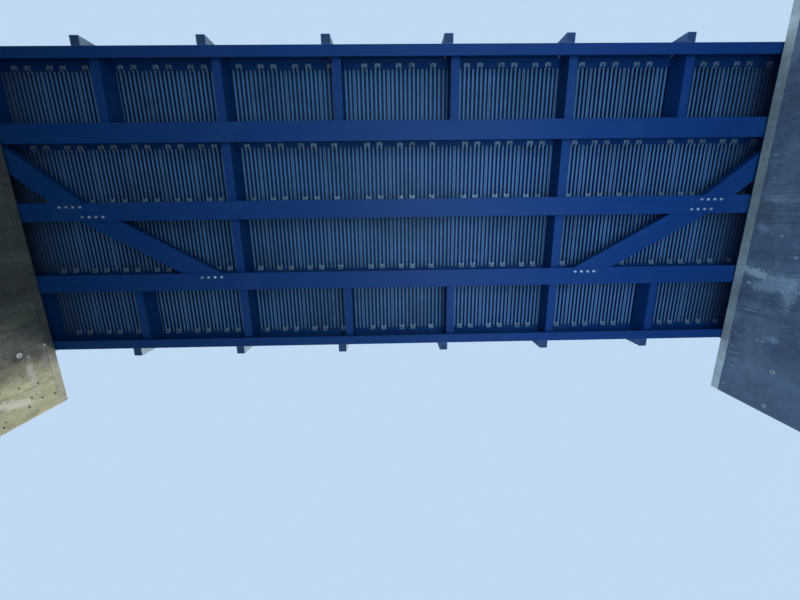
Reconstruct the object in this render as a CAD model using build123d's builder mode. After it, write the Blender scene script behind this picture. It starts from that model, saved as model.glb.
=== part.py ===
from build123d import *
import os

# Fibreglass footbridge on two concrete abutments, in millimetres.
# X runs along the span, Y across the deck and Z up, with the origin on the ground under mid-span.

os.makedirs("parts", exist_ok=True)

# Span and height
CLEAR_SPAN = 6540  # between the faces of the abutments
BEARING_LENGTH = 542.5  # of the beams, on each abutment
HEADROOM = 4700  # from the ground to the undersides of the beams

# Beams: pultruded I sections inside, channels with their webs outermost at the edges
BEAM_SPACING = 645  # the edge beams' outer faces stand two spacings from the centre line
BEAM_DEPTH = 254
BEAM_FLANGE = 160
BEAM_PLATE = 12  # flanges and webs
BEAM_ROOT = 10  # fillet between web and flange
EDGE_FLANGE = 85

# Deck planks, laid across the beams, with the ribs underneath. A seam lies at mid-span, and the end planks
# are cut between two ribs.
PLANKS_A_PANEL = 5
PLANK_PITCH = 305
PLANK_GAP = 3
PLANK_DEPTH = 40
PLANK_PLATE = 5
RIBS_A_PLANK = 8  # counting the two edge ribs as one, because each seam has two half ribs
RIB_WEB = 5
RIB_FOOT = 17
EDGE_RIB_FOOT = 11
RIB_FOOT_DEPTH = 6
LAP_REACH = 6  # of each plank's lip, over the edge of the next plank
LAP_PLATE = 2.2
LAP_CLEARANCE = 0.3
DECK_SETBACK = 4  # from the plank ends to the edge beams' outer faces

# Parapet
POST_SPACING = 1000
POST_TO_BEAM_END = 300  # at least this much beam runs on past the last post
POST_SIZE = 75
POST_WALL = 8
POST_CHAMFER = 4
RAIL_HEIGHT = 1150  # from the deck to the top of the handrail
HANDRAIL_WIDTH = 90
HANDRAIL_DEPTH = 55
HANDRAIL_ROUND = 22
HANDRAIL_WALL = 6
MID_RAILS = 3
MID_RAIL_SIZE = 50
MID_RAIL_WALL = 5
MID_RAIL_CHAMFER = 3
KICK_BOARD_HEIGHT = 150
KICK_BOARD_PLATE = 12
KICK_BOARD_GAP = 10  # under the kick board, for water to run off

# Cross members: channels that turn their webs to mid-span, held by angle cleats
CROSS_OFFSET = 70  # to one side of the posts, whose bolts pass beside them
CROSS_RISE = 60  # above the undersides of the beams
CROSS_DEPTH = 180
CROSS_FLANGE = 75
CROSS_PLATE = 10
CROSS_ROOT = 8
CROSS_END_GAP = 12  # clears the fillets of the beams
INNER_BAY_POST = 2  # the only post with one in the inner bays, counted from each end with the first as 0
CLEAT_LEG = 60
CLEAT_PLATE = 8
CLEAT_MARGIN = 10  # above and below a cleat, inside the channel

# Diagonal braces: troughs lapped on the bottom flanges, the same at both ends of the bridge. Each end of
# a brace is placed by a post, counted as above, and by how far it lies past that post, away from mid-span.
BRACE_WIDTH = 175
BRACE_LEG = 75
BRACE_PLATE = 8
BRACE_END_GAP = 12  # clears the fillets of the beams
BRACE_OFFSET = 72  # moved along with the cross members
NEAR_BRACE_INNER_POST = 2
NEAR_BRACE_INNER_REACH = 275
NEAR_BRACE_MIDDLE_POST = 1
NEAR_BRACE_MIDDLE_REACH = 250
FAR_BRACE_INNER_POST = 0
FAR_BRACE_INNER_REACH = 60
FAR_BRACE_MIDDLE_POST = 1
FAR_BRACE_MIDDLE_REACH = 390

# Abutments and beam seats
ABUTMENT_WIDTH = 3640
ABUTMENT_CHAMFER = 15
SILL_DEPTH = 75  # the band of paler concrete along the top of the front wall
PAD_THICKNESS = 20
PAD_LENGTH = 260
PAD_SETBACK = 60  # from the face of the abutment
PAD_MARGIN = 10  # on each side, inside the flange that rests on it
BACKWALL_GAP = 40  # behind the ends of the beams
BACKWALL_THICKNESS = 300

# Places that follow from the sizes
beam_length = CLEAR_SPAN + 2 * BEARING_LENGTH
planks_a_side = int(beam_length / 2 // PLANK_PITCH)
rib_pitch = PLANK_PITCH / RIBS_A_PLANK
cut_plank_ribs = int((beam_length / 2 - planks_a_side * PLANK_PITCH) / rib_pitch - 0.5)
cut_plank_width = (cut_plank_ribs + 0.5) * rib_pitch if cut_plank_ribs > 0 else 0
deck_length = 2 * (planks_a_side * PLANK_PITCH + cut_plank_width)
beam_top = HEADROOM + BEAM_DEPTH
deck_top = beam_top + PLANK_DEPTH
edge = 2 * BEAM_SPACING
half_span = CLEAR_SPAN / 2
shelf = HEADROOM - PAD_THICKNESS
backwall_face = beam_length / 2 + BACKWALL_GAP
abutment_back = backwall_face + BACKWALL_THICKNESS
post_centre = edge + POST_SIZE / 2
post_top = deck_top + RAIL_HEIGHT - HANDRAIL_DEPTH
post_bays = int((beam_length - 2 * POST_TO_BEAM_END) // POST_SPACING)
post_places = [(i - post_bays / 2) * POST_SPACING for i in range(post_bays + 1)]
seat = HEADROOM + BEAM_PLATE  # the upper side of the bottom flanges

ends = {"left": -1, "right": 1}
sides = {"near": 1, "far": -1}  # the near side is the one towards +Y
on_its_foot = (Align.CENTER, Align.CENTER, Align.MIN)


def save(part, name):
    part.label = name
    export_step(part, f"parts/{name}.step")


def i_section():
    """An I section that stands on the origin."""
    with BuildSketch() as section:
        with Locations((0, BEAM_DEPTH / 2)):
            Rectangle(BEAM_PLATE, BEAM_DEPTH)
        with Locations((0, BEAM_PLATE / 2), (0, BEAM_DEPTH - BEAM_PLATE / 2)):
            Rectangle(BEAM_FLANGE, BEAM_PLATE)
        inside = section.vertices().filter_by_position(Axis.X, -BEAM_PLATE, BEAM_PLATE)
        fillet(inside, radius=BEAM_ROOT)
    return section.sketch


def channel_section(depth, flange, plate, root):
    """A channel with the back of its web on the Y axis, flanges towards +X and foot on the X axis."""
    with BuildSketch() as section:
        Rectangle(flange, depth, align=(Align.MIN, Align.MIN))
        with Locations((plate, plate)):
            Rectangle(flange, depth - 2 * plate, align=(Align.MIN, Align.MIN), mode=Mode.SUBTRACT)
        inside = section.vertices().filter_by_position(Axis.X, plate - 1, plate + 1)
        fillet(inside, radius=root)
    return section.sketch


def plank_section():
    """A deck plank that starts at a seam on the Y axis, with its top on the X axis.

    It is a plate on ribs, each with a broad foot. A lip on the far edge laps over the next plank's edge.
    """
    first = PLANK_GAP / 2
    last = PLANK_PITCH - PLANK_GAP / 2
    with BuildSketch() as section:
        with Locations((PLANK_PITCH / 2, 0)):
            Rectangle(last - first, PLANK_PLATE, align=(Align.CENTER, Align.MAX))
        for rib in range(1, RIBS_A_PLANK):
            with Locations((rib * rib_pitch, 0)):
                Rectangle(RIB_WEB, PLANK_DEPTH, align=(Align.CENTER, Align.MAX))
            with Locations((rib * rib_pitch, -PLANK_DEPTH)):
                Rectangle(RIB_FOOT, RIB_FOOT_DEPTH, align=(Align.CENTER, Align.MIN))
        for seam, towards_middle in ((first, Align.MIN), (last, Align.MAX)):
            with Locations((seam, 0)):
                Rectangle(RIB_WEB, PLANK_DEPTH, align=(towards_middle, Align.MAX))
            with Locations((seam, -PLANK_DEPTH)):
                Rectangle(EDGE_RIB_FOOT, RIB_FOOT_DEPTH, align=(towards_middle, Align.MIN))
        with Locations((last, 0)):
            Rectangle(PLANK_GAP + LAP_REACH, LAP_PLATE, align=(Align.MIN, Align.MAX))
        with Locations((first, 0)):
            Rectangle(
                LAP_REACH + 1,
                LAP_PLATE + LAP_CLEARANCE,
                align=(Align.MIN, Align.MAX),
                mode=Mode.SUBTRACT,
            )
    return section.sketch


def cut_plank_section(low, high):
    """The part of a deck plank between two distances from the seam where it starts."""
    with BuildSketch() as section:
        add(plank_section())
        with Locations((low, 0)):
            Rectangle(high - low, 3 * PLANK_DEPTH, align=(Align.MIN, Align.CENTER), mode=Mode.INTERSECT)
    return section.sketch


def box_section(size, wall, corner):
    """A square tube's section, centred."""
    with BuildSketch() as section:
        Rectangle(size, size)
        chamfer(section.vertices(), length=corner)
        Rectangle(size - 2 * wall, size - 2 * wall, mode=Mode.SUBTRACT)
    return section.sketch


def handrail_section():
    """A hollow rail that is flat below and rounded above, with its foot on the X axis."""
    with BuildSketch() as section:
        Rectangle(HANDRAIL_WIDTH, HANDRAIL_DEPTH, align=(Align.CENTER, Align.MIN))
        fillet(section.vertices().group_by(Axis.Y)[-1], radius=HANDRAIL_ROUND)
        offset(amount=-HANDRAIL_WALL, kind=Kind.INTERSECTION, mode=Mode.SUBTRACT)
    return section.sketch


def across_plane(y):
    """An upright plane along the bridge at the given Y, from which an extrusion runs towards -Y."""
    return Plane.XZ.offset(-y)


# Abutments: front wall, sill, backwall and bearing pads
for end, sign in ends.items():
    wall_depth = abutment_back - half_span
    wall_middle = sign * (half_span + abutment_back) / 2

    with BuildPart() as abutment:
        with Locations((wall_middle, 0, 0)):
            Box(wall_depth, ABUTMENT_WIDTH, shelf - SILL_DEPTH, align=on_its_foot)
        chamfer(abutment.edges().filter_by(Axis.Z), length=ABUTMENT_CHAMFER)
    save(abutment.part, f"{end}_abutment")

    with BuildPart() as sill:
        with Locations((wall_middle, 0, shelf)):
            Box(wall_depth, ABUTMENT_WIDTH, SILL_DEPTH, align=(Align.CENTER, Align.CENTER, Align.MAX))
        chamfer(sill.edges().filter_by(Axis.Z), length=ABUTMENT_CHAMFER)
    save(sill.part, f"{end}_bearing_sill")

    with BuildPart() as backwall:
        with Locations((sign * (backwall_face + BACKWALL_THICKNESS / 2), 0, shelf)):
            Box(
                BACKWALL_THICKNESS,
                ABUTMENT_WIDTH - 2 * ABUTMENT_CHAMFER,
                deck_top - shelf,
                align=(Align.CENTER, Align.CENTER, Align.MIN),
            )
    save(backwall.part, f"{end}_backwall")

    pad_middle = sign * (half_span + PAD_SETBACK + PAD_LENGTH / 2)
    edge_pad_middle = edge - EDGE_FLANGE / 2
    with BuildPart() as pads:
        with Locations(*[(pad_middle, i * BEAM_SPACING, shelf) for i in (-1, 0, 1)]):
            Box(PAD_LENGTH, BEAM_FLANGE - 2 * PAD_MARGIN, PAD_THICKNESS, align=on_its_foot)
        with Locations(*[(pad_middle, side * edge_pad_middle, shelf) for side in sides.values()]):
            Box(PAD_LENGTH, EDGE_FLANGE - 2 * PAD_MARGIN, PAD_THICKNESS, align=on_its_foot)
    save(pads.part, f"{end}_bearing_pads")

# Beams
for name, place in {"far_inner_beam": -1, "middle_beam": 0, "near_inner_beam": 1}.items():
    with BuildPart() as inner_beam:
        with BuildSketch(Plane.YZ.offset(-beam_length / 2)):
            with Locations((place * BEAM_SPACING, HEADROOM)):
                add(i_section())
        extrude(amount=beam_length)
    save(inner_beam.part, name)

for name, side in sides.items():
    section = channel_section(BEAM_DEPTH, EDGE_FLANGE, BEAM_PLATE, BEAM_ROOT)
    with BuildPart() as edge_beam:
        with BuildSketch(Plane.YZ.offset(-beam_length / 2)):
            with Locations((side * edge, HEADROOM)):
                add(mirror(section, about=Plane.YZ, mode=Mode.PRIVATE) if side > 0 else section)
        extrude(amount=beam_length)
    save(edge_beam.part, f"{name}_edge_beam")

# Cross members and their cleats, bay by bay from the far side
web_faces = [-edge + BEAM_PLATE]
for place in (-1, 0, 1):
    web_faces.append(place * BEAM_SPACING - BEAM_PLATE / 2)
    web_faces.append(place * BEAM_SPACING + BEAM_PLATE / 2)
web_faces.append(edge - BEAM_PLATE)
bays = [(web_faces[2 * i], web_faces[2 * i + 1]) for i in range(4)]

cross_base = HEADROOM + CROSS_RISE
cleat_base = cross_base + CROSS_PLATE + CLEAT_MARGIN
cleat_height = CROSS_DEPTH - 2 * (CROSS_PLATE + CLEAT_MARGIN)

for number, (low, high) in enumerate(bays, start=1):
    outer_bay = number in (1, len(bays))
    inner_members = [post_places[INNER_BAY_POST], post_places[-1 - INNER_BAY_POST]]
    members = post_places if outer_bay else inner_members
    channel = channel_section(CROSS_DEPTH, CROSS_FLANGE, CROSS_PLATE, CROSS_ROOT)

    with BuildPart() as cross_members:
        with BuildSketch(across_plane(high - CROSS_END_GAP)):
            for x in members:
                away = 1 if x > 0 else -1
                with Locations((x + CROSS_OFFSET - away * CROSS_FLANGE / 2, cross_base)):
                    add(channel if away > 0 else mirror(channel, about=Plane.YZ, mode=Mode.PRIVATE))
        extrude(amount=high - low - 2 * CROSS_END_GAP)
    save(cross_members.part, f"cross_members_bay_{number}")

    with BuildPart() as cleats:
        with BuildSketch(Plane.XY.offset(cleat_base)):
            for x in members:
                away = 1 if x > 0 else -1
                web_inside = x + CROSS_OFFSET - away * (CROSS_FLANGE / 2 - CROSS_PLATE)
                leg_middle = web_inside + away * CLEAT_LEG / 2
                plate_middle = web_inside + away * CLEAT_PLATE / 2
                for face, inward in ((low, 1), (high, -1)):
                    with Locations((leg_middle, face + inward * CLEAT_PLATE / 2)):
                        Rectangle(CLEAT_LEG, CLEAT_PLATE)
                    with Locations((plate_middle, face + inward * CLEAT_LEG / 2)):
                        Rectangle(CLEAT_PLATE, CLEAT_LEG)
        extrude(amount=cleat_height)
    save(cleats.part, f"cleats_bay_{number}")


def trough_section():
    """A brace's section: a flat foot on the X axis between two upstanding legs, centred."""
    with BuildSketch() as section:
        Rectangle(BRACE_WIDTH, BRACE_LEG, align=(Align.CENTER, Align.MIN))
        with Locations((0, BRACE_PLATE)):
            Rectangle(
                BRACE_WIDTH - 2 * BRACE_PLATE,
                BRACE_LEG,
                align=(Align.CENTER, Align.MIN),
                mode=Mode.SUBTRACT,
            )
    return section.sketch


# Diagonal braces in the two inner bays, each from the middle beam to the next one
brace_ends = {
    "near": (
        post_places[-1 - NEAR_BRACE_INNER_POST] + NEAR_BRACE_INNER_REACH,
        post_places[-1 - NEAR_BRACE_MIDDLE_POST] + NEAR_BRACE_MIDDLE_REACH,
    ),
    "far": (
        post_places[-1 - FAR_BRACE_INNER_POST] + FAR_BRACE_INNER_REACH,
        post_places[-1 - FAR_BRACE_MIDDLE_POST] + FAR_BRACE_MIDDLE_REACH,
    ),
}
lap_middle = (BEAM_FLANGE / 2 + BEAM_PLATE / 2) / 2
brace_cuts = (BEAM_PLATE / 2 + BRACE_END_GAP, BEAM_SPACING - BEAM_PLATE / 2 - BRACE_END_GAP)
for end, sign in ends.items():
    for name, side in sides.items():
        inner_end, middle_end = brace_ends[name]
        start = Vector(sign * middle_end + BRACE_OFFSET, side * lap_middle, seat)
        finish = Vector(sign * inner_end + BRACE_OFFSET, side * (BEAM_SPACING - lap_middle), seat)
        along = (finish - start).normalized()
        across = Vector(0, 0, 1).cross(along)
        spare = 2 * BRACE_WIDTH
        with BuildPart() as brace:
            with BuildSketch(Plane(start - along * spare, x_dir=across, z_dir=along)):
                add(trough_section())
            extrude(amount=(finish - start).length + 2 * spare)
            for cut, keep in zip(brace_cuts, (Keep.TOP, Keep.BOTTOM)):
                split(bisect_by=Plane((0, side * cut, 0), z_dir=(0, side, 0)), keep=keep)
        save(brace.part, f"{end}_{name}_brace")

# Deck, in panels of a few planks each
whole_plank = plank_section()
pieces = [(seam * PLANK_PITCH, whole_plank) for seam in range(-planks_a_side, planks_a_side)]
if cut_plank_width:
    first_piece = cut_plank_section(PLANK_PITCH - cut_plank_width, PLANK_PITCH + PLANK_GAP + LAP_REACH)
    pieces.insert(0, (-(planks_a_side + 1) * PLANK_PITCH, first_piece))
    pieces.append((planks_a_side * PLANK_PITCH, cut_plank_section(0, cut_plank_width)))
panels = round(len(pieces) / PLANKS_A_PANEL)
for panel in range(panels):
    first = round(panel * len(pieces) / panels)
    last = round((panel + 1) * len(pieces) / panels)
    with BuildPart() as deck_panel:
        with BuildSketch(across_plane(edge - DECK_SETBACK)):
            for seam, section in pieces[first:last]:
                with Locations((seam, deck_top)):
                    add(section)
        extrude(amount=2 * (edge - DECK_SETBACK))
    save(deck_panel.part, f"deck_planks_{panel + 1}")

# Parapets
rail_room = RAIL_HEIGHT - HANDRAIL_DEPTH - KICK_BOARD_GAP - KICK_BOARD_HEIGHT - MID_RAILS * MID_RAIL_SIZE
rail_gap = rail_room / (MID_RAILS + 1)
kick_base = deck_top + KICK_BOARD_GAP
for name, side in sides.items():
    with BuildPart() as posts:
        with BuildSketch(Plane.XY.offset(HEADROOM)):
            with Locations(*[(x, side * post_centre) for x in post_places]):
                add(box_section(POST_SIZE, POST_WALL, POST_CHAMFER))
        extrude(amount=post_top - HEADROOM)
    save(posts.part, f"{name}_posts")

    with BuildPart() as handrail:
        with BuildSketch(Plane.YZ.offset(-deck_length / 2)):
            with Locations((side * post_centre, post_top)):
                add(handrail_section())
        extrude(amount=deck_length)
    save(handrail.part, f"{name}_handrail")

    for number in range(MID_RAILS):
        height = kick_base + KICK_BOARD_HEIGHT + rail_gap + number * (MID_RAIL_SIZE + rail_gap)
        with BuildPart() as mid_rail:
            with BuildSketch(Plane.YZ.offset(-deck_length / 2)):
                with Locations((side * (edge - MID_RAIL_SIZE / 2), height + MID_RAIL_SIZE / 2)):
                    add(box_section(MID_RAIL_SIZE, MID_RAIL_WALL, MID_RAIL_CHAMFER))
            extrude(amount=deck_length)
        save(mid_rail.part, f"{name}_mid_rail_{number + 1}")

    with BuildPart() as kick_board:
        with Locations((0, side * (edge - KICK_BOARD_PLATE / 2), kick_base)):
            Box(deck_length, KICK_BOARD_PLATE, KICK_BOARD_HEIGHT, align=on_its_foot)
    save(kick_board.part, f"{name}_kick_board")
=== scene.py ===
import logging
import math
import random
from bisect import bisect_left
from contextlib import contextmanager
from dataclasses import dataclass, field
from enum import Enum
from typing import Callable, Iterable, Iterator, Sequence, Union

import bpy
from mathutils import Matrix, Vector


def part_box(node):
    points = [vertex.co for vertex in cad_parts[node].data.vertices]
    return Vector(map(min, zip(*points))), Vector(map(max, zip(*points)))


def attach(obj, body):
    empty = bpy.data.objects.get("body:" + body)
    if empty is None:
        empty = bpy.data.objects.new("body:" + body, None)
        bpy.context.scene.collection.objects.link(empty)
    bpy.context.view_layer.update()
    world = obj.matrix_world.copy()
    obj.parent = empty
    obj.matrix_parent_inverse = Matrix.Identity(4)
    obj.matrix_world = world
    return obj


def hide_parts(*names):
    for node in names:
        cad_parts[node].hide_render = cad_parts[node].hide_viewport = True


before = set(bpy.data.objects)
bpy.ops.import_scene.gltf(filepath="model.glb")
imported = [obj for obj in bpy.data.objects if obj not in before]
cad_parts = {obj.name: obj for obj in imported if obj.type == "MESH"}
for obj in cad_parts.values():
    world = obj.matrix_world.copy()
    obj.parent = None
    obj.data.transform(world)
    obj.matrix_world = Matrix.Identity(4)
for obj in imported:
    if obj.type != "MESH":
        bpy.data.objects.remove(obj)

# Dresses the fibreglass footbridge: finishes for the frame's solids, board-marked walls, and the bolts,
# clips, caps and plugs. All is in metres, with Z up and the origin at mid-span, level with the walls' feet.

logging.basicConfig(level=logging.INFO, format="%(message)s")
log = logging.getLogger("footbridge")

Colour = tuple[float, float, float]
Pair = tuple[float, float]
Numbers = tuple[float, ...]
Piece = bpy.types.Object
Face = bpy.types.MeshPolygon
Socket = bpy.types.NodeSocket
Source = Union[Socket, Sequence[float], float]

BODY = "root"
IMAGE_WIDTH = 800
SEED = 11

POSTS_A_SIDE = 8
POST_PITCH = 1.0
POST_SIZE = 0.075
# the X of each post's middle
EVERY_POST = tuple((i - (POSTS_A_SIDE - 1) / 2) * POST_PITCH for i in range(POSTS_A_SIDE))
PLANK_PITCH = 0.305
CROSS_OFFSET = 0.070  # from a post's middle to the middle of its cross member
FLANGE = 0.012  # how thick the beams' flanges are
WALL_FACE = 3.27  # where the walls' faces stand, on both sides of mid-span
STRAIGHT = 0.9  # the least share of a face's normal along the axis that it looks along
CLOSE = 0.001  # how far apart two places may be and still count as level with each other


class Grain(Enum):
    """The axis that the fibres of a pultruded piece run along."""

    ALONG = 0
    ACROSS = 1
    UPRIGHT = 2


class End(Enum):
    """The two ends of the bridge, by the sign of X."""

    LEFT = -1
    RIGHT = 1


class Side(Enum):
    """The two sides of the bridge, by the sign of Y."""

    FAR = -1
    NEAR = 1


# Working with meshes


def deselect_all() -> None:
    """Leaves nothing selected."""
    bpy.ops.object.select_all(action="DESELECT")


def make_active(piece: Piece) -> None:
    """Selects one object and makes it the active one.

    Args:
        piece: the object.
    """
    deselect_all()
    piece.select_set(True)
    bpy.context.view_layer.objects.active = piece


@contextmanager
def edit_mode(piece: Piece) -> Iterator[None]:
    """Edits a piece's mesh by its faces.

    Args:
        piece: the object whose mesh is edited.

    Yields:
        Nothing, while the mesh is in edit mode.
    """
    make_active(piece)
    bpy.ops.object.mode_set(mode="EDIT")
    bpy.ops.mesh.select_mode(type="FACE")
    yield
    bpy.ops.object.mode_set(mode="OBJECT")


def looks_up(face: Face) -> bool:
    """Whether a face looks straight up."""
    return face.normal.z > STRAIGHT


def select(parts: Iterable[bpy.types.bpy_struct], test: Callable[..., bool]) -> None:
    """Selects the parts of the mesh in edit mode that pass a test.

    Args:
        parts: the mesh's polygons or its edges.
        test: says whether a part is wanted.
    """
    bpy.ops.mesh.select_all(action="DESELECT")
    bpy.ops.object.mode_set(mode="OBJECT")
    for part in parts:
        part.select = test(part)
    bpy.ops.object.mode_set(mode="EDIT")


def select_faces(piece: Piece, test: Callable[[Face], bool]) -> None:
    """Selects the faces that pass a test."""
    select(piece.data.polygons, test)


def inset_faces(piece: Piece, test: Callable[[Face], bool], *steps: Numbers) -> None:
    """Insets some of the faces.

    Args:
        piece: the object in edit mode.
        test: says whether a face is wanted.
        steps: the thickness and the depth of each inset.
    """
    select_faces(piece, test)
    for thickness, depth in steps:
        bpy.ops.mesh.inset(thickness=thickness, depth=depth)


def bevel_edges(
    piece: Piece, test: Callable[[Vector, Vector], bool], offset: float, segments: int = 2
) -> None:
    """Bevels some of the edges.

    Args:
        piece: the object in edit mode.
        test: says whether the edge between two places is wanted.
        offset: how far the bevel reaches from the edge.
        segments: how many faces the bevel has.
    """
    bpy.ops.mesh.select_mode(type="EDGE")
    points = piece.data.vertices
    select(piece.data.edges, lambda edge: test(*(points[end].co for end in edge.vertices)))
    bpy.ops.mesh.bevel(offset=offset, segments=segments, affect="EDGES")
    bpy.ops.mesh.select_mode(type="FACE")


def extrude(*steps: Sequence[float]) -> None:
    """Extrudes the selected faces once for each step."""
    for step in steps:
        bpy.ops.mesh.extrude_region_move(TRANSFORM_OT_translate={"value": step})


def bisect_all(place: Sequence[float], normal: Sequence[float]) -> None:
    """Divides the whole mesh in edit mode along a plane."""
    bpy.ops.mesh.select_all(action="SELECT")
    bpy.ops.mesh.bisect(plane_co=place, plane_no=normal)


def settled() -> Piece:
    """Moves the new primitive's place, turn and scale into its mesh.

    Returns:
        The primitive, with all its faces looking outwards.
    """
    piece = bpy.context.active_object
    bpy.ops.object.transform_apply(location=True, rotation=True, scale=True)
    with edit_mode(piece):
        bpy.ops.mesh.select_all(action="SELECT")
        bpy.ops.mesh.normals_make_consistent(inside=False)
    return piece


def new_box(low: Sequence[float], high: Sequence[float]) -> Piece:
    """Adds a box.

    Args:
        low: the lowest corner.
        high: the highest corner.

    Returns:
        The new object.
    """
    low, high = Vector(low), Vector(high)
    deselect_all()
    bpy.ops.mesh.primitive_cube_add(size=1, location=(low + high) / 2)
    bpy.context.active_object.scale = high - low
    return settled()


def new_disc(radius: float, base: float, height: float, sides: int) -> Piece:
    """Adds an upright cylinder on the Z axis.

    Args:
        radius: its radius at the corners.
        base: the level of its lower end.
        height: how high it is.
        sides: how many sides it has.

    Returns:
        The new object.
    """
    deselect_all()
    middle = (0, 0, base + height / 2)
    bpy.ops.mesh.primitive_cylinder_add(vertices=sides, radius=radius, depth=height, location=middle)
    return settled()


def smooth(piece: Piece, degrees: float) -> None:
    """Shades a piece smooth, apart from edges sharper than an angle."""
    make_active(piece)
    bpy.ops.object.shade_smooth_by_angle(angle=math.radians(degrees))


def join(pieces: Sequence[Piece], name: str = "pattern") -> Piece:
    """Joins pieces into one.

    Args:
        pieces: the pieces, the first of which takes in the others.
        name: the name of the whole.

    Returns:
        The whole.
    """
    deselect_all()
    for piece in pieces:
        piece.select_set(True)
    whole = bpy.context.view_layer.objects.active = pieces[0]
    if len(pieces) > 1:
        bpy.ops.object.join()
    whole.name = whole.data.name = name
    return whole


def repeat(pattern: Piece, places: Iterable[Matrix], name: str) -> Piece:
    """Copies a modelled pattern to several places as one piece.

    Args:
        pattern: the modelled object, which stays as it is.
        places: where each copy goes.
        name: the name of the new piece.

    Returns:
        The new piece, at the origin, with all the copies in its mesh.
    """
    copies = []
    for place in places:
        copy = pattern.copy()
        copy.data = pattern.data.copy()
        copy.data.transform(place)
        bpy.context.scene.collection.objects.link(copy)
        copies.append(copy)
    return join(copies, name)


def discard(piece: Piece) -> None:
    """Removes a pattern or a cutter that has been used."""
    bpy.data.meshes.remove(piece.data)


def cut_away(piece: Piece, cutter: Piece) -> None:
    """Cuts a shape out of a piece.

    Args:
        piece: what is cut.
        cutter: the shape, which may overlap itself. It is used up.
    """
    make_active(piece)
    modifier = piece.modifiers.new("Cut", "BOOLEAN")
    modifier.operation = "DIFFERENCE"
    modifier.object = cutter
    modifier.solver = "EXACT"
    modifier.use_self = True
    bpy.ops.object.modifier_apply(modifier=modifier.name)
    discard(cutter)


def facing(place: Vector, outward: Vector, turn: float = 0.0) -> Matrix:
    """The matrix that takes a fastener to a place, with +Z turned outward, after a turn about its axis."""
    turned = outward.to_track_quat("Z", "Y").to_matrix().to_4x4()
    return Matrix.Translation(place) @ turned @ Matrix.Rotation(turn, 4, "Z")


# Finishes


class Graph:
    """Short ways to add and join the nodes of one tree."""

    def __init__(self, tree: bpy.types.NodeTree, place: Socket | None = None) -> None:
        """Keeps the tree that nodes are added to, and the coordinates that its textures read."""
        self.tree = tree
        self.place = place

    def feed(self, node: bpy.types.Node, inputs: dict[str | int, Source]) -> None:
        """Links a node's inputs, or sets them.

        Args:
            node: the node.
            inputs: a socket or a plain value for each of its inputs named here.
        """
        for key, value in inputs.items():
            socket = node.inputs[key]
            if isinstance(value, Socket):
                self.tree.links.new(value, socket)
            else:
                socket.default_value = (*value, 1) if socket.type == "RGBA" else value

    def node(self, kind: str, inputs: dict[str | int, Source], **settings: object) -> Sequence[Socket]:
        """Adds a node.

        Args:
            kind: its type, without the leading ShaderNode.
            inputs: what its inputs take.
            settings: its properties.

        Returns:
            Its outputs.
        """
        made = self.tree.nodes.new(f"ShaderNode{kind}")
        for name, value in settings.items():
            setattr(made, name, value)
        self.feed(made, inputs)
        return made.outputs

    def math(self, operation: str, a: Source, b: Source = 0.0) -> Socket:
        """Works out one arithmetic step."""
        return self.node("Math", {0: a, 1: b}, operation=operation)[0]

    def times(self, a: Source, b: Source) -> Socket:
        """Multiplies two values."""
        return self.math("MULTIPLY", a, b)

    def plus(self, a: Source, b: Source) -> Socket:
        """Adds two values."""
        return self.math("ADD", a, b)

    def minus(self, a: Source, b: Source) -> Socket:
        """Takes the second value from the first."""
        return self.math("SUBTRACT", a, b)

    def ramp(self, value: Source, low: Source, high: Source, to_low: float = 0, to_high: float = 1) -> Socket:
        """Maps a value from one range to another, and stops at its ends."""
        inputs = {"Value": value, "From Min": low, "From Max": high, "To Min": to_low, "To Max": to_high}
        return self.node("MapRange", inputs, clamp=True)["Result"]

    def mix(self, share: Source, under: Source, over: Source) -> Socket:
        """Lays a share of one colour over another."""
        return self.node("Mix", {0: share, 6: under, 7: over}, data_type="RGBA", blend_type="MIX")[2]

    def layer(self, under: Source, over: Source, mask: Source, most: Source) -> Socket:
        """Lays one colour over another where a mask says, up to a most."""
        return self.mix(self.times(mask, most), under, over)

    def axes(self, vector: Source) -> tuple[Socket, ...]:
        """The X, Y and Z of a vector."""
        return tuple(self.node("SeparateXYZ", {0: vector}))

    def looks(self) -> tuple[Socket, ...]:
        """How much the surface looks along each of X, Y and Z."""
        return self.axes(self.node("NewGeometry", {})["Normal"])

    def stretched(self, scale: Colour, shift: Colour = (0, 0, 0)) -> Socket:
        """The place, scaled and moved along each axis."""
        return self.node("Mapping", {"Vector": self.place, "Scale": scale, "Location": shift})[0]

    def noise(self, scale: float, detail: float, rough: float = 0.5, place: Socket | None = None) -> Socket:
        """A noise texture's value, at the graph's own place or another."""
        inputs = {"Vector": place or self.place, "Scale": scale, "Detail": detail, "Roughness": rough}
        return self.node("TexNoise", inputs)["Fac"]

    def swing(self, noise: Socket, reach: float) -> Socket:
        """A noise moved about zero and scaled."""
        return self.times(self.minus(noise, 0.5), reach)

    def blotches(self, scale: float, cover: float, place: Socket | None = None) -> Socket:
        """The mask of the Blotches group, at the graph's own place or another."""
        inputs = {"Vector": place or self.place, "Scale": scale, "Cover": cover}
        return self.node("Group", inputs, node_tree=bpy.data.node_groups["Blotches"])["Mask"]

    def fibres(self, grain: Grain) -> tuple[Socket, ...]:
        """The patterns of the Fibres group.

        Args:
            grain: the axis that the fibres run along.

        Returns:
            The streaks and the veil.
        """
        axes = self.axes(self.place)
        run = axes[grain.value :] + axes[: grain.value]
        along = self.node("CombineXYZ", dict(enumerate(run)))[0]
        return tuple(self.node("Group", {"Vector": along}, node_tree=bpy.data.node_groups["Fibres"]))


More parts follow.
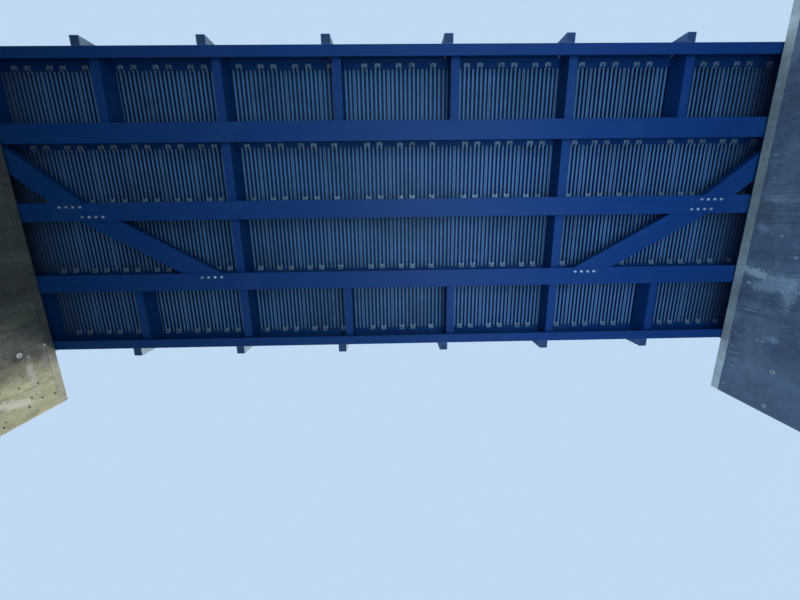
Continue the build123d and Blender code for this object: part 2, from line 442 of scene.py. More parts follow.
def new_group(
    name: str, inputs: dict[str, Source], outputs: Iterable[str]
) -> tuple[Graph, Sequence[Socket], bpy.types.Node]:
    """Starts a shader node group.

    Args:
        name: the group's name.
        inputs: each input's default value, a vector or a number. One is named Vector.
        outputs: the names of its outputs, all of them numbers.

    Returns:
        The group's graph, what comes into it, and the node that it feeds.
    """
    tree = bpy.data.node_groups.new(name, "ShaderNodeTree")
    for label, default in inputs.items():
        kind = "NodeSocketVector" if isinstance(default, tuple) else "NodeSocketFloat"
        tree.interface.new_socket(label, in_out="INPUT", socket_type=kind).default_value = default
    for label in outputs:
        tree.interface.new_socket(label, in_out="OUTPUT", socket_type="NodeSocketFloat")
    source = tree.nodes.new("NodeGroupInput").outputs
    return Graph(tree, source["Vector"]), source, tree.nodes.new("NodeGroupOutput")


def build_blotches() -> None:
    """Makes the group for soft patches of dirt or algae, a mask that fades between two sizes of noise."""
    graph, source, target = new_group("Blotches", {"Vector": (0, 0, 0), "Scale": 1.0, "Cover": 0.5}, ["Mask"])
    scaled = graph.node("VectorMath", {0: graph.place, "Scale": source["Scale"]}, operation="SCALE")[0]
    broad = graph.times(graph.noise(1.0, 6, 0.6, scaled), 0.75)
    fine = graph.times(graph.noise(7.0, 4, 0.6, scaled), 0.25)
    edge = graph.ramp(source["Cover"], 0, 1, 0.75, 0.25)
    mask = graph.ramp(graph.plus(broad, fine), graph.minus(edge, 0.06), graph.plus(edge, 0.10))
    graph.feed(target, {"Mask": mask})


def build_fibres() -> None:
    """Makes the group for the fine streaks that the die leaves, and the veil on a pultruded surface."""
    graph, _, target = new_group("Fibres", {"Vector": (0, 0, 0)}, ["Streaks", "Veil"])
    streaks = graph.noise(1.0, 3, 0.6, graph.stretched((1.2, 260, 260)))
    veil = graph.noise(1.0, 2, 0.5, graph.stretched((60, 240, 240)))
    graph.feed(target, {"Streaks": streaks, "Veil": veil})


class Paint(Graph):
    """The nodes of one material, round its Principled shader, on Object coordinates."""

    def __init__(self, name: str) -> None:
        """Starts the material.

        Args:
            name: the material's name.
        """
        self.material = bpy.data.materials.new(name)
        self.material.use_nodes = True
        super().__init__(self.material.node_tree)
        self.shader = self.tree.nodes["Principled BSDF"]
        self.place = self.node("TexCoord", {})["Object"]

    def coat(self, tone: Source, rough: Source, height: Source, scale: float, strength: float = 1.0) -> None:
        """Feeds the shader a colour, a roughness, and a normal bumped by a height times a scale."""
        normal = self.node("Bump", {"Height": height, "Distance": scale, "Strength": strength})["Normal"]
        self.feed(self.shader, {"Base Color": tone, "Roughness": rough, "Normal": normal})


@dataclass(frozen=True)
class Finish:
    """A finish with a name and a main colour. Each kind is laid on in its own way."""

    name: str
    colour: Colour

    def build(self) -> bpy.types.Material:
        """Makes the material.

        Returns:
            The material.
        """
        paint = Paint(self.name)
        self.lay(paint)
        return paint.material

    def lay(self, paint: Paint) -> None:
        """Makes the nodes that feed the shader."""
        raise NotImplementedError


@dataclass(frozen=True)
class Fibreglass(Finish):
    """Pultruded fibreglass with fine streaks along the fibres, a little dust and a satin surface."""

    faded: Colour
    dust: Colour
    grain: Grain
    roughness: Pair = (0.44, 0.62)
    specular: float = 0.12
    dust_scale: float = 2.6
    dust_cover: float = 0.35
    dust_share: float = 0.55
    streak_depth: float = 0.00012
    painted_side_light: tuple[Colour, ...] = ()

    def lay(self, paint: Paint) -> None:
        """Lays streaks, then dust, then painted sunlight and painted shade on the faces that look along the
        bridge.

        Args:
            paint: the material's nodes.
        """
        streaks, veil = paint.fibres(self.grain)
        tone = paint.mix(paint.ramp(streaks, 0.35, 0.68), self.colour, self.faded)
        dust = paint.blotches(self.dust_scale, self.dust_cover)
        share = paint.times(paint.times(dust, paint.ramp(veil, 0.3, 0.7, 0.35, 1.0)), self.dust_share)
        tone = paint.mix(share, tone, self.dust)
        if self.painted_side_light:
            # painted light: the faces that look along the bridge take a pale painted sunlight on the +X side
            # and a blue painted shade on the -X side
            side_light_mottle = paint.ramp(paint.noise(9.0, 5, 0.6, paint.stretched((1, 1, 0.3))), 0.3, 0.6, 0.75, 1.0)
            looks = paint.looks()[0]
            for way, side_tone in zip((1, -1), self.painted_side_light):
                tone = paint.layer(tone, side_tone, paint.ramp(paint.times(looks, way), 0.4, 0.95), side_light_mottle)
        rough = paint.plus(paint.ramp(veil, 0.3, 0.7, *self.roughness), paint.times(share, 0.25))
        paint.coat(tone, rough, streaks, self.streak_depth)
        paint.feed(paint.shader, {"Specular IOR Level": self.specular})


@dataclass(frozen=True)
class DeckFibreglass(Finish):
    """Plank fibreglass with painted shade between its ribs and over the bearing shelves, and a grit wearing
    surface on top.
    """

    faded: Colour
    dirt: Colour
    grit: Colour
    painted_rib_shade: Colour
    painted_shelf_shade: Colour
    feet: Pair
    shelf: Pair
    specular: float = 0.12
    dirt_share: float = 0.55
    grit_scale: float = 420
    grit_height: float = 7.0
    streak_depth: float = 0.0001

    def lay(self, paint: Paint) -> None:
        """Lays the planks' tones, the painted shade between the ribs and over the shelves, and the grit on
        the upper faces.

        Args:
            paint: the material's nodes.
        """
        x, _, z = paint.axes(paint.place)
        streaks, _ = paint.fibres(Grain.ACROSS)
        # each plank has its own tone
        plank = paint.math("FLOOR", paint.math("DIVIDE", x, PLANK_PITCH))
        own = paint.node("TexWhiteNoise", {"W": plank}, noise_dimensions="1D")["Value"]
        tone = paint.mix(paint.ramp(own, 0, 1, 0, 0.45), self.colour, self.faded)
        tone = paint.mix(paint.ramp(streaks, 0.35, 0.7, 0, 0.5), tone, self.faded)
        under = paint.layer(tone, self.dirt, paint.blotches(1.7, 0.42), self.dirt_share)
        # painted shade: all that lies above the ribs' feet takes a dark blue that stands in for the shade
        # between the ribs
        under = paint.mix(paint.ramp(z, *self.feet, 0, 0.97), under, self.painted_rib_shade)
        # painted shade: the ribs over the bearing shelves fade into an even dark blue that stands in for the
        # shade beside the abutments
        under = paint.mix(paint.ramp(paint.math("ABSOLUTE", x), *self.shelf, 0, 0.85), under, self.painted_shelf_shade)
        up = paint.ramp(paint.looks()[2], 0.6, 0.9)
        grains = paint.node("TexVoronoi", {"Vector": paint.place, "Scale": self.grit_scale})["Distance"]
        speck = paint.ramp(grains, 0.15, 0.65, 1.0, 0.0)
        top = paint.layer(self.grit, self.colour, speck, 0.5)
        worn = paint.blotches(1.4, 0.45, paint.stretched((0.7, 1.6, 1)))
        top = paint.layer(top, self.dirt, worn, 0.5)
        rough = paint.ramp(up, 0, 1, 0.5, 0.92)
        height = paint.plus(paint.times(paint.times(speck, up), self.grit_height), streaks)
        paint.coat(paint.mix(up, under, top), rough, height, self.streak_depth)
        paint.feed(paint.shader, {"Specular IOR Level": self.specular})


@dataclass(frozen=True)
class Stain:
    """A patch on a wall's face: its middle and half its size in Y and Z, its slope, and how much it hides."""

    middle: Pair
    half: Pair
    slope: float
    colour: Colour
    strength: float = 0.8
    depth: float = 0.05

    def mask(self, paint: Paint, face: float, torn: Socket) -> Socket:
        """Where the stain is.

        Args:
            paint: the material's nodes.
            face: where the wall's face stands in X.
            torn: a noise about zero that breaks up the stain's edge.

        Returns:
            How much of the wall it hides.
        """
        middle, size = (face, *self.middle), (self.depth, *self.half)
        inputs = {"Vector": paint.place, "Location": middle, "Rotation": (self.slope, 0, 0), "Scale": size}
        flat = paint.node("Mapping", inputs, vector_type="TEXTURE")[0]
        away = paint.node("VectorMath", {0: flat}, operation="LENGTH")["Value"]
        return paint.ramp(paint.plus(away, torn), 0.55, 1.15, self.strength, 0)


@dataclass(frozen=True)
class Concrete(Finish):
    """Weathered concrete with blowholes, sand, algae, water stains and paler patches, with painted sunlight
    where the deck casts no shadow.
    """

    dark: Colour
    pale: Colour
    algae: Colour
    algae_cover: float = 0.45
    pale_cover: float = 0.35
    painted_sunlight: Colour = (0.30, 0.30, 0.27)
    deck_shadow_edge: Pair = (1.20, 1.48)
    sunlight_share: float = 0.9
    stains: tuple[Stain, ...] = ()
    face: float = 0.0
    outer_saturation: float = 0.4
    foot_heights: Pair = (2.3, 3.85)
    foot_saturation: float = 0.35
    hole_scale: float = 26
    hole_size: float = 0.17

    def lay(self, paint: Paint) -> None:
        """Lays clouds, streaks and growth, then painted sunlight outside the deck's shadow, stains, sand and
        blowholes.

        Args:
            paint: the material's nodes.
        """
        _, y, z = paint.axes(paint.place)
        tone = paint.layer(self.colour, self.dark, paint.blotches(2.2, 0.5), 0.8)
        runs = paint.noise(1.0, 6, 0.65, paint.stretched((5, 5, 0.35)))
        tone = paint.layer(tone, self.pale, paint.ramp(runs, 0.52, 0.72), 0.5)
        drips = paint.noise(1.0, 5, 0.6, paint.stretched((9, 9, 0.5), (3, 7, 1)))
        tone = paint.layer(tone, self.dark, paint.ramp(drips, 0.55, 0.75), 0.55)
        bare = paint.blotches(1.1, self.pale_cover, paint.stretched((1, 1, 1.5), (5, 2, 9)))
        tone = paint.layer(tone, self.pale, bare, 0.7)
        growth = paint.blotches(1.6, self.algae_cover, paint.stretched((1, 1, 0.8), (1, 4, 2)))
        tone = paint.layer(tone, self.algae, growth, 0.75)
        # painted sunlight: the wall is paler and mottled where the deck casts no shadow on it
        ragged = paint.plus(paint.math("ABSOLUTE", y), paint.swing(paint.noise(3.2, 5, 0.65), 0.55))
        outside = paint.ramp(ragged, *self.deck_shadow_edge, 0, self.sunlight_share)
        drawn = paint.stretched((1, 1, 0.6))
        mottle = paint.ramp(paint.noise(7.0, 6, 0.7, drawn), 0.35, 0.7, 0.45, 1.0)
        tone = paint.layer(tone, self.painted_sunlight, outside, mottle)
        tone = paint.mix(paint.ramp(paint.noise(46, 3, 0.65, drawn), 0.54, 0.68, 0, 0.34), tone, self.pale)
        torn = paint.swing(paint.noise(17, 6, 0.75), 2.6)
        torn = paint.plus(torn, paint.swing(paint.noise(75, 3, 0.7), 2.4))
        for stain in self.stains:
            tone = paint.mix(stain.mask(paint, self.face, torn), tone, stain.colour)
        sand = paint.noise(330, 3, 0.6)
        tone = paint.mix(paint.ramp(sand, 0.4, 0.75, 0, 0.25), tone, self.pale)
        holes = paint.node("TexVoronoi", {"Vector": paint.place, "Scale": self.hole_scale})
        own = paint.times(paint.axes(holes["Color"])[0], self.hole_size)
        pit = paint.ramp(holes["Distance"], paint.minus(own, 0.05), own, 1.0, 0.0)
        # painted shade: the blowhole pits are darkened as well as dented
        tone = paint.layer(tone, self.dark, pit, 0.75)
        if self.face:
            # painted light: the face that looks into the passage keeps the full blue cast that stands in for
            # the light under the bridge; the other faces, and the foot of this one, are plainer
            looks = paint.times(paint.looks()[0], -math.copysign(1, self.face))
            inside = paint.ramp(looks, 0.2, 0.7, self.outer_saturation, 1.0)
            above = paint.ramp(z, *self.foot_heights, self.foot_saturation, 1.0)
            plainer = {"Saturation": paint.math("MINIMUM", inside, above), "Color": tone}
            tone = paint.node("HueSaturation", plainer)["Color"]
        swell = paint.plus(paint.times(paint.noise(9, 5, 0.6), 3.0), paint.times(sand, 0.9))
        height = paint.minus(swell, paint.times(pit, 3.5))
        paint.coat(tone, paint.ramp(sand, 0.3, 0.7, 0.78, 0.97), height, 0.001, 0.9)


@dataclass(frozen=True)
class Steel(Finish):
    """Stainless steel with a dull drawn surface and a few tarnished spots."""

    tarnish: Colour
    shine: float = 0.85
    dullness: Pair = (0.36, 0.55)

    def lay(self, paint: Paint) -> None:
        """Lays the tarnish.

        Args:
            paint: the material's nodes.
        """
        spots = paint.blotches(22.0, 0.45)
        tone = paint.mix(spots, self.colour, self.tarnish)
        paint.coat(tone, paint.ramp(spots, 0, 1, *self.dullness), paint.noise(900, 2), 0.00005)
        paint.feed(paint.shader, {"Metallic": self.shine})


@dataclass(frozen=True)
class Rubber(Finish):
    """Bearing rubber or plastic with a bloom of dust."""

    bloom: Colour

    def lay(self, paint: Paint) -> None:
        """Lays the dust.

        Args:
            paint: the material's nodes.
        """
        share = paint.times(paint.blotches(14.0, 0.5), 0.4)
        tone = paint.mix(share, self.colour, self.bloom)
        paint.coat(tone, paint.ramp(share, 0, 0.4, 0.72, 0.9), paint.noise(240, 3), 0.0002)


# the colour, the faded colour and the dust
FRAME_COLOURS = ((0.0022, 0.024, 0.098), (0.0036, 0.032, 0.124), (0.010, 0.042, 0.114))
PARAPET_COLOURS = ((0.012, 0.044, 0.125), (0.034, 0.076, 0.165), (0.100, 0.135, 0.180))
# painted sunlight for the posts' +X faces, then painted shade for their -X faces
PARAPET_PAINTED_SIDE_LIGHT = ((0.33, 0.40, 0.46), (0.060, 0.125, 0.270))

FINISHES: tuple[Finish, ...] = (
    Fibreglass("beam_fibreglass", *FRAME_COLOURS, Grain.ALONG),
    Fibreglass("cross_fibreglass", *FRAME_COLOURS, Grain.ACROSS),
    Fibreglass("cleat_fibreglass", *FRAME_COLOURS, Grain.UPRIGHT),
    Fibreglass("post_fibreglass", *PARAPET_COLOURS, Grain.UPRIGHT, dust_cover=0.5, painted_side_light=PARAPET_PAINTED_SIDE_LIGHT),
    Fibreglass("rail_fibreglass", *PARAPET_COLOURS, Grain.ALONG, dust_cover=0.5),
    DeckFibreglass(
        "deck_fibreglass",
        (0.050, 0.104, 0.205),
        faded=(0.074, 0.141, 0.258),
        dirt=(0.030, 0.048, 0.068),
        grit=(0.10, 0.105, 0.10),
        painted_rib_shade=(0.0015, 0.020, 0.072),
        painted_shelf_shade=(0.024, 0.042, 0.080),
        feet=(4.9545, 4.9600),
        shelf=(3.02, 3.42),
    ),
    # partly painted shade: besides its algae and dirt, the left wall is given darker tones for the deep shade
    # under the deck
    Concrete(
        "left_concrete",
        (0.050, 0.052, 0.050),
        dark=(0.018, 0.020, 0.022),
        pale=(0.150, 0.150, 0.125),
        algae=(0.032, 0.040, 0.022),
        painted_sunlight=(0.62, 0.58, 0.35),
        face=-WALL_FACE,
        outer_saturation=0.75,
        stains=(
            Stain((1.43, 4.44), (0.15, 0.035), 0.0, (0.46, 0.46, 0.42), 0.6),
            Stain((1.61, 4.23), (0.040, 0.20), -0.35, (0.70, 0.69, 0.56), 0.65),
            Stain((0.92, 4.42), (0.060, 0.16), 0.1, (0.100, 0.112, 0.080), 0.6),
            Stain((1.34, 4.60), (0.12, 0.05), 0.0, (0.17, 0.16, 0.18), 0.5),
        ),
    ),
    # partly painted light: the right wall's blue tones stand in for the blue cast of light under the bridge
    Concrete(
        "right_concrete",
        (0.062, 0.086, 0.138),
        dark=(0.028, 0.042, 0.078),
        pale=(0.165, 0.210, 0.270),
        algae=(0.068, 0.090, 0.080),
        algae_cover=0.35,
        painted_sunlight=(0.135, 0.190, 0.300),
        sunlight_share=0.6,
        face=WALL_FACE,
        outer_saturation=0.3,
        stains=(
            Stain((0.61, 4.50), (0.040, 0.15), 0.25, (0.42, 0.50, 0.51), 0.65),
            Stain((0.68, 4.30), (0.080, 0.22), -0.1, (0.26, 0.33, 0.38), 0.6),
            Stain((0.76, 4.21), (0.12, 0.06), 0.0, (0.34, 0.42, 0.47), 0.4),
            Stain((0.12, 4.52), (0.035, 0.05), 0.5, (0.030, 0.050, 0.075), 0.5),
            Stain((0.21, 4.52), (0.035, 0.05), 0.0, (0.26, 0.29, 0.38), 0.45),
            Stain((-0.02, 4.45), (0.03, 0.12), 0.2, (0.25, 0.31, 0.38), 0.35),
            Stain((1.22, 4.24), (0.05, 0.08), 0.1, (0.030, 0.055, 0.13), 0.4),
            Stain((1.15, 4.235), (0.03, 0.045), 0.0, (0.26, 0.34, 0.46), 0.45),
        ),
    ),
    # partly painted shade: the left sill is as dark as the shaded left wall, darker than the right sill
    Concrete(
        "left_sill",
        (0.045, 0.047, 0.046),
        dark=(0.018, 0.020, 0.022),
        pale=(0.120, 0.120, 0.100),
        algae=(0.030, 0.036, 0.022),
        painted_sunlight=(0.56, 0.53, 0.38),
    ),
    Concrete(
        "right_sill",
        (0.205, 0.228, 0.232),
        dark=(0.105, 0.120, 0.124),
        pale=(0.340, 0.370, 0.365),
        algae=(0.150, 0.172, 0.135),
        painted_sunlight=(0.62, 0.69, 0.70),
    ),
    Concrete(
        "left_mortar",
        (0.50, 0.51, 0.50),
        dark=(0.32, 0.33, 0.33),
        pale=(0.60, 0.61, 0.58),
        algae=(0.33, 0.35, 0.29),
        algae_cover=0.2,
    ),
    Concrete(
        "right_mortar",
        (0.19, 0.23, 0.30),
        dark=(0.11, 0.14, 0.19),
        pale=(0.30, 0.35, 0.41),
        algae=(0.14, 0.17, 0.18),
        algae_cover=0.3,
    ),
    Steel("stainless_steel", (0.44, 0.48, 0.54), tarnish=(0.24, 0.25, 0.27)),
    Steel(
        "weathered_steel",
        (0.19, 0.25, 0.33),
        tarnish=(0.10, 0.13, 0.17),
        shine=0.6,
        dullness=(0.62, 0.80),
    ),
    Rubber("bearing_rubber", (0.012, 0.012, 0.013), bloom=(0.07, 0.068, 0.062)),
    Rubber("plug_plastic", (0.004, 0.027, 0.086), bloom=(0.018, 0.048, 0.098)),
    Rubber("cap_plastic", (0.010, 0.012, 0.016), bloom=(0.05, 0.052, 0.055)),
)

# the finish of the CAD nodes whose names hold a word, tried in this order
NODE_FINISHES = {
    "beam": "beam_fibreglass",
    "rail": "rail_fibreglass",
    "kick_board": "rail_fibreglass",
    "brace": "beam_fibreglass",
    "cross_members": "cross_fibreglass",
    "cleats": "cleat_fibreglass",
    "posts": "post_fibreglass",
    "deck_planks": "deck_fibreglass",
    "bearing_pads": "bearing_rubber",
    "left_bearing_sill": "left_sill",
    "right_bearing_sill": "right_sill",
    "left": "left_concrete",
    "right": "right_concrete",
}


@dataclass
class Finishes:
    """All the materials, by the names that pieces ask for."""

    made: dict[str, bpy.types.Material] = field(default_factory=dict)

    def build(self) -> None:
        """Makes the node groups and the materials."""
        build_blotches()
        build_fibres()
        for finish in FINISHES:
            self.made[finish.name] = finish.build()
        log.info("materials: %d", len(self.made))

    def dress(self, piece: Piece, name: str) -> None:
        """Gives a piece one material all over."""
        piece.data.materials.clear()
        piece.data.materials.append(self.made[name])

    def dress_nodes(self) -> None:
        """Dresses the frame's own solids."""
        for name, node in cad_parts.items():
            finish = NODE_FINISHES[next(word for word in NODE_FINISHES if word in name)]
            self.dress(node, finish)
            log.info("node %s: %s", name, finish)


# The floor, the backdrop, the lamps and the camera


@dataclass(frozen=True)
class Lamp:
    """A soft square lamp, with its side in metres, its power in watts and its spread in degrees."""

    name: str
    place: Numbers
    target: Numbers
    size: float
    power: float
    colour: Colour
    spread: float = 180

    def build(self) -> None:
        """Adds the lamp, unseen by the camera."""
        lamp = bpy.data.lights.new(self.name, "AREA")
        lamp.shape = "SQUARE"
        lamp.size = self.size
        lamp.energy = self.power
        lamp.color = self.colour
        lamp.spread = math.radians(self.spread)
        holder = bpy.data.objects.new(self.name, lamp)
        holder.location = self.place
        aim = Vector(self.target) - Vector(self.place)
        holder.rotation_euler = aim.to_track_quat("-Z", "Y").to_euler()
        holder.visible_camera = False
        bpy.context.scene.collection.objects.link(holder)


@dataclass
class Setting:
    """The floor, the backdrop and the lamps, none of which belongs to the object."""

    floor_size: float = 90.0
    floor_colour: Colour = (0.60, 0.60, 0.59)
    backdrop_colour: Colour = (0.53, 0.69, 0.90)
    # what the backdrop lights the bridge with, which isn't what it shows
    backdrop_light_colour: Colour = (0.78, 0.87, 1.0)
    backdrop_light: float = 0.38
    lamps: tuple[Lamp, ...] = (
        Lamp("key", (7, 8.5, 13), (-1.5, 0.8, 4), 5, 1650, (1, 0.97, 0.90)),
        Lamp("fill", (-7, -9, 10), (0, 0, 4.5), 6, 350, (0.90, 0.95, 1.0)),
        Lamp("under", (0.4, -0.3, 0.04), (0.2, -0.3, 5), 4.6, 232, (0.48, 0.75, 1.0), 130),
        Lamp("bounce", (0.3, 0.3, 1.7), (3.6, 0.3, 4.9), 1.5, 20, (0.30, 0.58, 1.0), 100),
    )

    def build(self) -> None:
        """Makes the floor, the backdrop and the lamps."""
        deselect_all()
        bpy.ops.mesh.primitive_plane_add(size=self.floor_size)
        floor = bpy.context.active_object
        floor.name = "floor"
        paint = Paint("floor")
        paint.feed(paint.shader, {"Base Color": self.floor_colour, "Roughness": 0.9})
        floor.data.materials.append(paint.material)
        self.build_backdrop()
        for lamp in self.lamps:
            lamp.build()

    def build_backdrop(self) -> None:
        """Makes a plain pale world that shows brighter than it lights."""
        world = bpy.data.worlds.new("backdrop")
        bpy.context.scene.world = world
        world.use_nodes = True
        graph = Graph(world.node_tree)
        rays = graph.node("LightPath", {})
        mirrored = graph.math("MAXIMUM", rays["Is Glossy Ray"], rays["Is Transmission Ray"])
        seen = graph.math("MAXIMUM", rays["Is Camera Ray"], mirrored)
        colour = graph.mix(seen, self.backdrop_light_colour, self.backdrop_colour)
        strength = graph.ramp(seen, 0, 1, self.backdrop_light, 1.0)
        graph.feed(world.node_tree.nodes["Background"], {"Color": colour, "Strength": strength})


@dataclass
class Viewpoint:
    """The photograph's viewpoint: under the bridge, looking up and a little towards the near side."""

    below_beams: float = 3.136
    aside: Pair = (0.0249, 0.1152)
    pan: float = 0.0153
    tilt: float = -0.2302
    roll: float = -0.0171
    focal_length_px: float = 336.0
    sensor: float = 36.0
    clip: Pair = (0.01, 200)

    def build(self) -> None:
        """Makes the camera and sets it as the scene's."""
        camera = bpy.data.cameras.new("viewpoint")
        camera.sensor_width = self.sensor
        camera.lens = self.focal_length_px * self.sensor / IMAGE_WIDTH
        camera.clip_start, camera.clip_end = self.clip
        holder = bpy.data.objects.new("viewpoint", camera)
        straight_up = Matrix(((1, 0, 0), (0, -1, 0), (0, 0, -1)))
        turn = (
            Matrix.Rotation(-self.roll, 3, "Z")
            @ Matrix.Rotation(self.pan, 3, "Y")
            @ Matrix.Rotation(-self.tilt, 3, "X")
            @ straight_up
        )
        holder.rotation_euler = turn.transposed().to_euler()
        holder.location = (*self.aside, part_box("middle_beam")[0].z - self.below_beams)
        bpy.context.scene.collection.objects.link(holder)
        bpy.context.scene.camera = holder


# The new pieces


@dataclass
class Fastener:
    """A hexagon head or nut on a washer, sitting on the origin and pointing to +Z."""

    across_flats: float
    height: float
    washer: float
    stub: float = 0.0
    washer_plate: float = 0.003
    # bevels, as shares of the radius, apart from the washer's depth, a share of its plate
    washer_bevel: Pair = (0.08, 0.25)
    head_bevel: Pair = (0.14, 0.09)
    stub_inset: float = 0.22
    stub_bevel: Pair = (0.07, 0.05)

    def build(self) -> Piece:
        """Models the fastener.

        Returns:
            The new object, a pattern to repeat.
        """
        washer = new_disc(self.washer, 0, self.washer_plate, sides=16)
        wide, deep = self.washer_bevel
        with edit_mode(washer):
            inset_faces(washer, looks_up, (self.washer * wide, self.washer_plate * deep))
        radius = self.across_flats / math.sqrt(3)
        head = new_disc(radius, self.washer_plate, self.height, sides=6)
        with edit_mode(head):
            wide, deep = self.head_bevel
            inset_faces(head, looks_up, (radius * wide, radius * deep))
            if self.stub:
                bpy.ops.mesh.inset(thickness=radius * self.stub_inset)
                extrude((0, 0, self.stub))
                wide, deep = self.stub_bevel
                bpy.ops.mesh.inset(thickness=radius * wide, depth=radius * deep)
        return join([head, washer])


@dataclass
class DomeHead:
    """A low dome-headed screw, sitting on the origin and pointing to +Z."""

    radius: float = 0.008
    flat: float = 0.25
    insets: tuple[Numbers, ...] = ((0.3, 0.22), (0.3, 0.1), (0.1, -0.16))

    def build(self) -> Piece:
        """Models the screw's head.

        Returns:
            The new object, a pattern to repeat.
        """
        head = new_disc(self.radius, 0, self.radius * self.flat, sides=12)
        insets = ((self.radius * wide, self.radius * deep) for wide, deep in self.insets)
        with edit_mode(head):
            inset_faces(head, looks_up, *insets)
        smooth(head, degrees=50)
        return head


@dataclass
class SubAssembly:
    """Some new pieces, with their sizes as fields."""

    finishes: Finishes

    def hand_over(self, piece: Piece, finish: str, slot: str = "") -> None:
        """Dresses a finished piece and lets it ride with the bridge.

        Args:
            piece: the finished piece.
            finish: the name of its finish.
            slot: not used.
        """
        self.finishes.dress(piece, finish)
        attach(piece, BODY)
        log.info("%s: %d faces", piece.name, len(piece.data.polygons))


@dataclass(frozen=True)
class ClipShape:
    """A kind of deck clip: its plate's ends in Y, its level, and the steps in Y and Z of the rest."""

    back: float
    front: float
    level: float
    tongue: tuple[Numbers, ...]
    prongs: tuple[Numbers, ...]


ON_FLANGE = ClipShape(-0.036, -0.014, 0.0, (), ((0.014, 0.0), (0.006, FLANGE), (0.009, 0.0)))
ON_PLANKS = ClipShape(0.006, 0.024, FLANGE, ((-0.006, -FLANGE), (-0.010, 0.0)), ((0.012, 0.0),))


class Row(Enum):
    """The beams' edges with deck clips: the node, the edge's side in Y, and the clips' slide and shape."""

    FAR_EDGE = ("far_edge_beam", 1, -0.006, ON_FLANGE)
    FAR_INNER = ("far_inner_beam", 1, 0.0, ON_FLANGE)
    MIDDLE = ("middle_beam", -1, 0.014, ON_PLANKS)
    NEAR_INNER = ("near_inner_beam", -1, 0.0, ON_PLANKS)
    NEAR_EDGE = ("near_edge_beam", -1, -0.003, ON_PLANKS)


@dataclass
class DeckClips(SubAssembly):
    """Stainless clips that hold the planks down, each with a plate, a bolt and two prongs under the ribs."""

    from_plank_middle: float = 0.0572
    planks_a_side: int = 12
    width: float = 0.052
    plate: float = 0.003
    slot: float = 0.018
    bolt: Fastener = field(default_factory=lambda: Fastener(0.017, 0.0075, 0.013, washer_plate=0.002))
    bolt_turn: float = 0.3
    keep_clear: float = 0.068
    # how far a clip may stray along the beam and across it, and how far it may turn
    stray: Pair = (0.0015, 0.002)
    stray_turn: float = 0.06

    def model(self, shape: ClipShape) -> Piece:
        """Models one clip, with its origin under the flange's edge and its two prongs towards +Y.

        Args:
            shape: the kind of clip.

        Returns:
            The new object.
        """
        half = self.width / 2
        under = shape.level - self.plate
        clip = new_box((-half, shape.back, under), (half, shape.front, shape.level))
        with edit_mode(clip):
            select_faces(clip, lambda face: face.normal.y < -STRAIGHT)
            extrude(*((0, *step) for step in shape.tongue))
            for side in (-1, 1):
                bisect_all((side * self.slot / 2, 0, 0), (1, 0, 0))
            tip = shape.front - CLOSE
            select_faces(clip, lambda face: face.center.y > tip and abs(face.center.x) > self.slot / 2)
            extrude(*((0, *step) for step in shape.prongs))
        bolt = self.bolt.build()
        place = Vector((0, (shape.back + shape.front) / 2, under))
        bolt.data.transform(facing(place, Vector((0, 0, -1)), self.bolt_turn))
        return join([clip, bolt])

    def places(self, row: Row, rng: random.Random) -> list[Matrix]:
        """Where the clips of one row go.

        Args:
            row: the beam's edge.
            rng: gives each clip a slight slide and turn.

        Returns:
            A place for each clip.
        """
        node, side, slide, _ = row.value
        low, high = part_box(node)
        edge = high.y if side > 0 else low.y
        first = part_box("near_posts")[0].x + POST_SIZE / 2 + CROSS_OFFSET
        members = [first + i * POST_PITCH for i in range(POSTS_A_SIDE)]
        places = []
        for plank in range(-self.planks_a_side, self.planks_a_side):
            for part in (-1, 1):
                x = (plank + 0.5) * PLANK_PITCH + part * self.from_plank_middle
                if any(abs(x - member) < self.keep_clear for member in members):
                    continue
                turn = rng.uniform(-self.stray_turn, self.stray_turn) + (0 if side > 0 else math.pi)
                along, across = self.stray
                y = edge + side * (slide + rng.uniform(-across, across))
                point = Matrix.Translation((x + rng.uniform(-along, along), y, high.z - FLANGE))
                places.append(point @ Matrix.Rotation(turn, 4, "Z"))
        return places

    def build(self) -> None:
        """Makes a row of clips along each beam."""
        patterns = {shape: self.model(shape) for shape in (ON_FLANGE, ON_PLANKS)}
        rng = random.Random(SEED)
        for row in Row:
            node, *_, shape = row.value
            self.hand_over(repeat(patterns[shape], self.places(row, rng), f"clips_{node}"), "weathered_steel")
        for pattern in patterns.values():
            discard(pattern)


@dataclass
class BraceBolts(SubAssembly):
    """The rows of four bolts through each end of a brace and the flange under it."""

    pitch: float = 0.060
    a_row: int = 4
    rows: tuple[Numbers, ...] = (
        (-2.656, 0.043), (-1.680, 0.602), (-2.840, -0.043), (-3.488, -0.602), (2.847, 0.043),
        (1.831, 0.602), (2.926, -0.043), (3.632, -0.602),
    )
    brace_foot: float = 0.008

    def build(self) -> None:
        """Makes the heads under the flanges, and the nuts inside the braces."""
        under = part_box("middle_beam")[0].z
        up = Vector((0, 0, 1))
        rng = random.Random(SEED + 1)
        heads, nuts = [], []
        for x, y in self.rows:
            for i in range(self.a_row):
                place = Vector((x + (i - (self.a_row - 1) / 2) * self.pitch, y, under))
                heads.append(facing(place, -up, rng.uniform(0, math.pi)))
                nuts.append(facing(place + up * (FLANGE + self.brace_foot), up, rng.uniform(0, math.pi)))
        for name, fastener, places in (
            ("brace_bolts", Fastener(0.018, 0.008, 0.0122, washer_plate=0.002), heads),
            ("brace_nuts", Fastener(0.018, 0.010, 0.0122, stub=0.006, washer_plate=0.002), nuts),
        ):
            pattern = fastener.build()
            self.hand_over(repeat(pattern, places, name), "stainless_steel")
            discard(pattern)


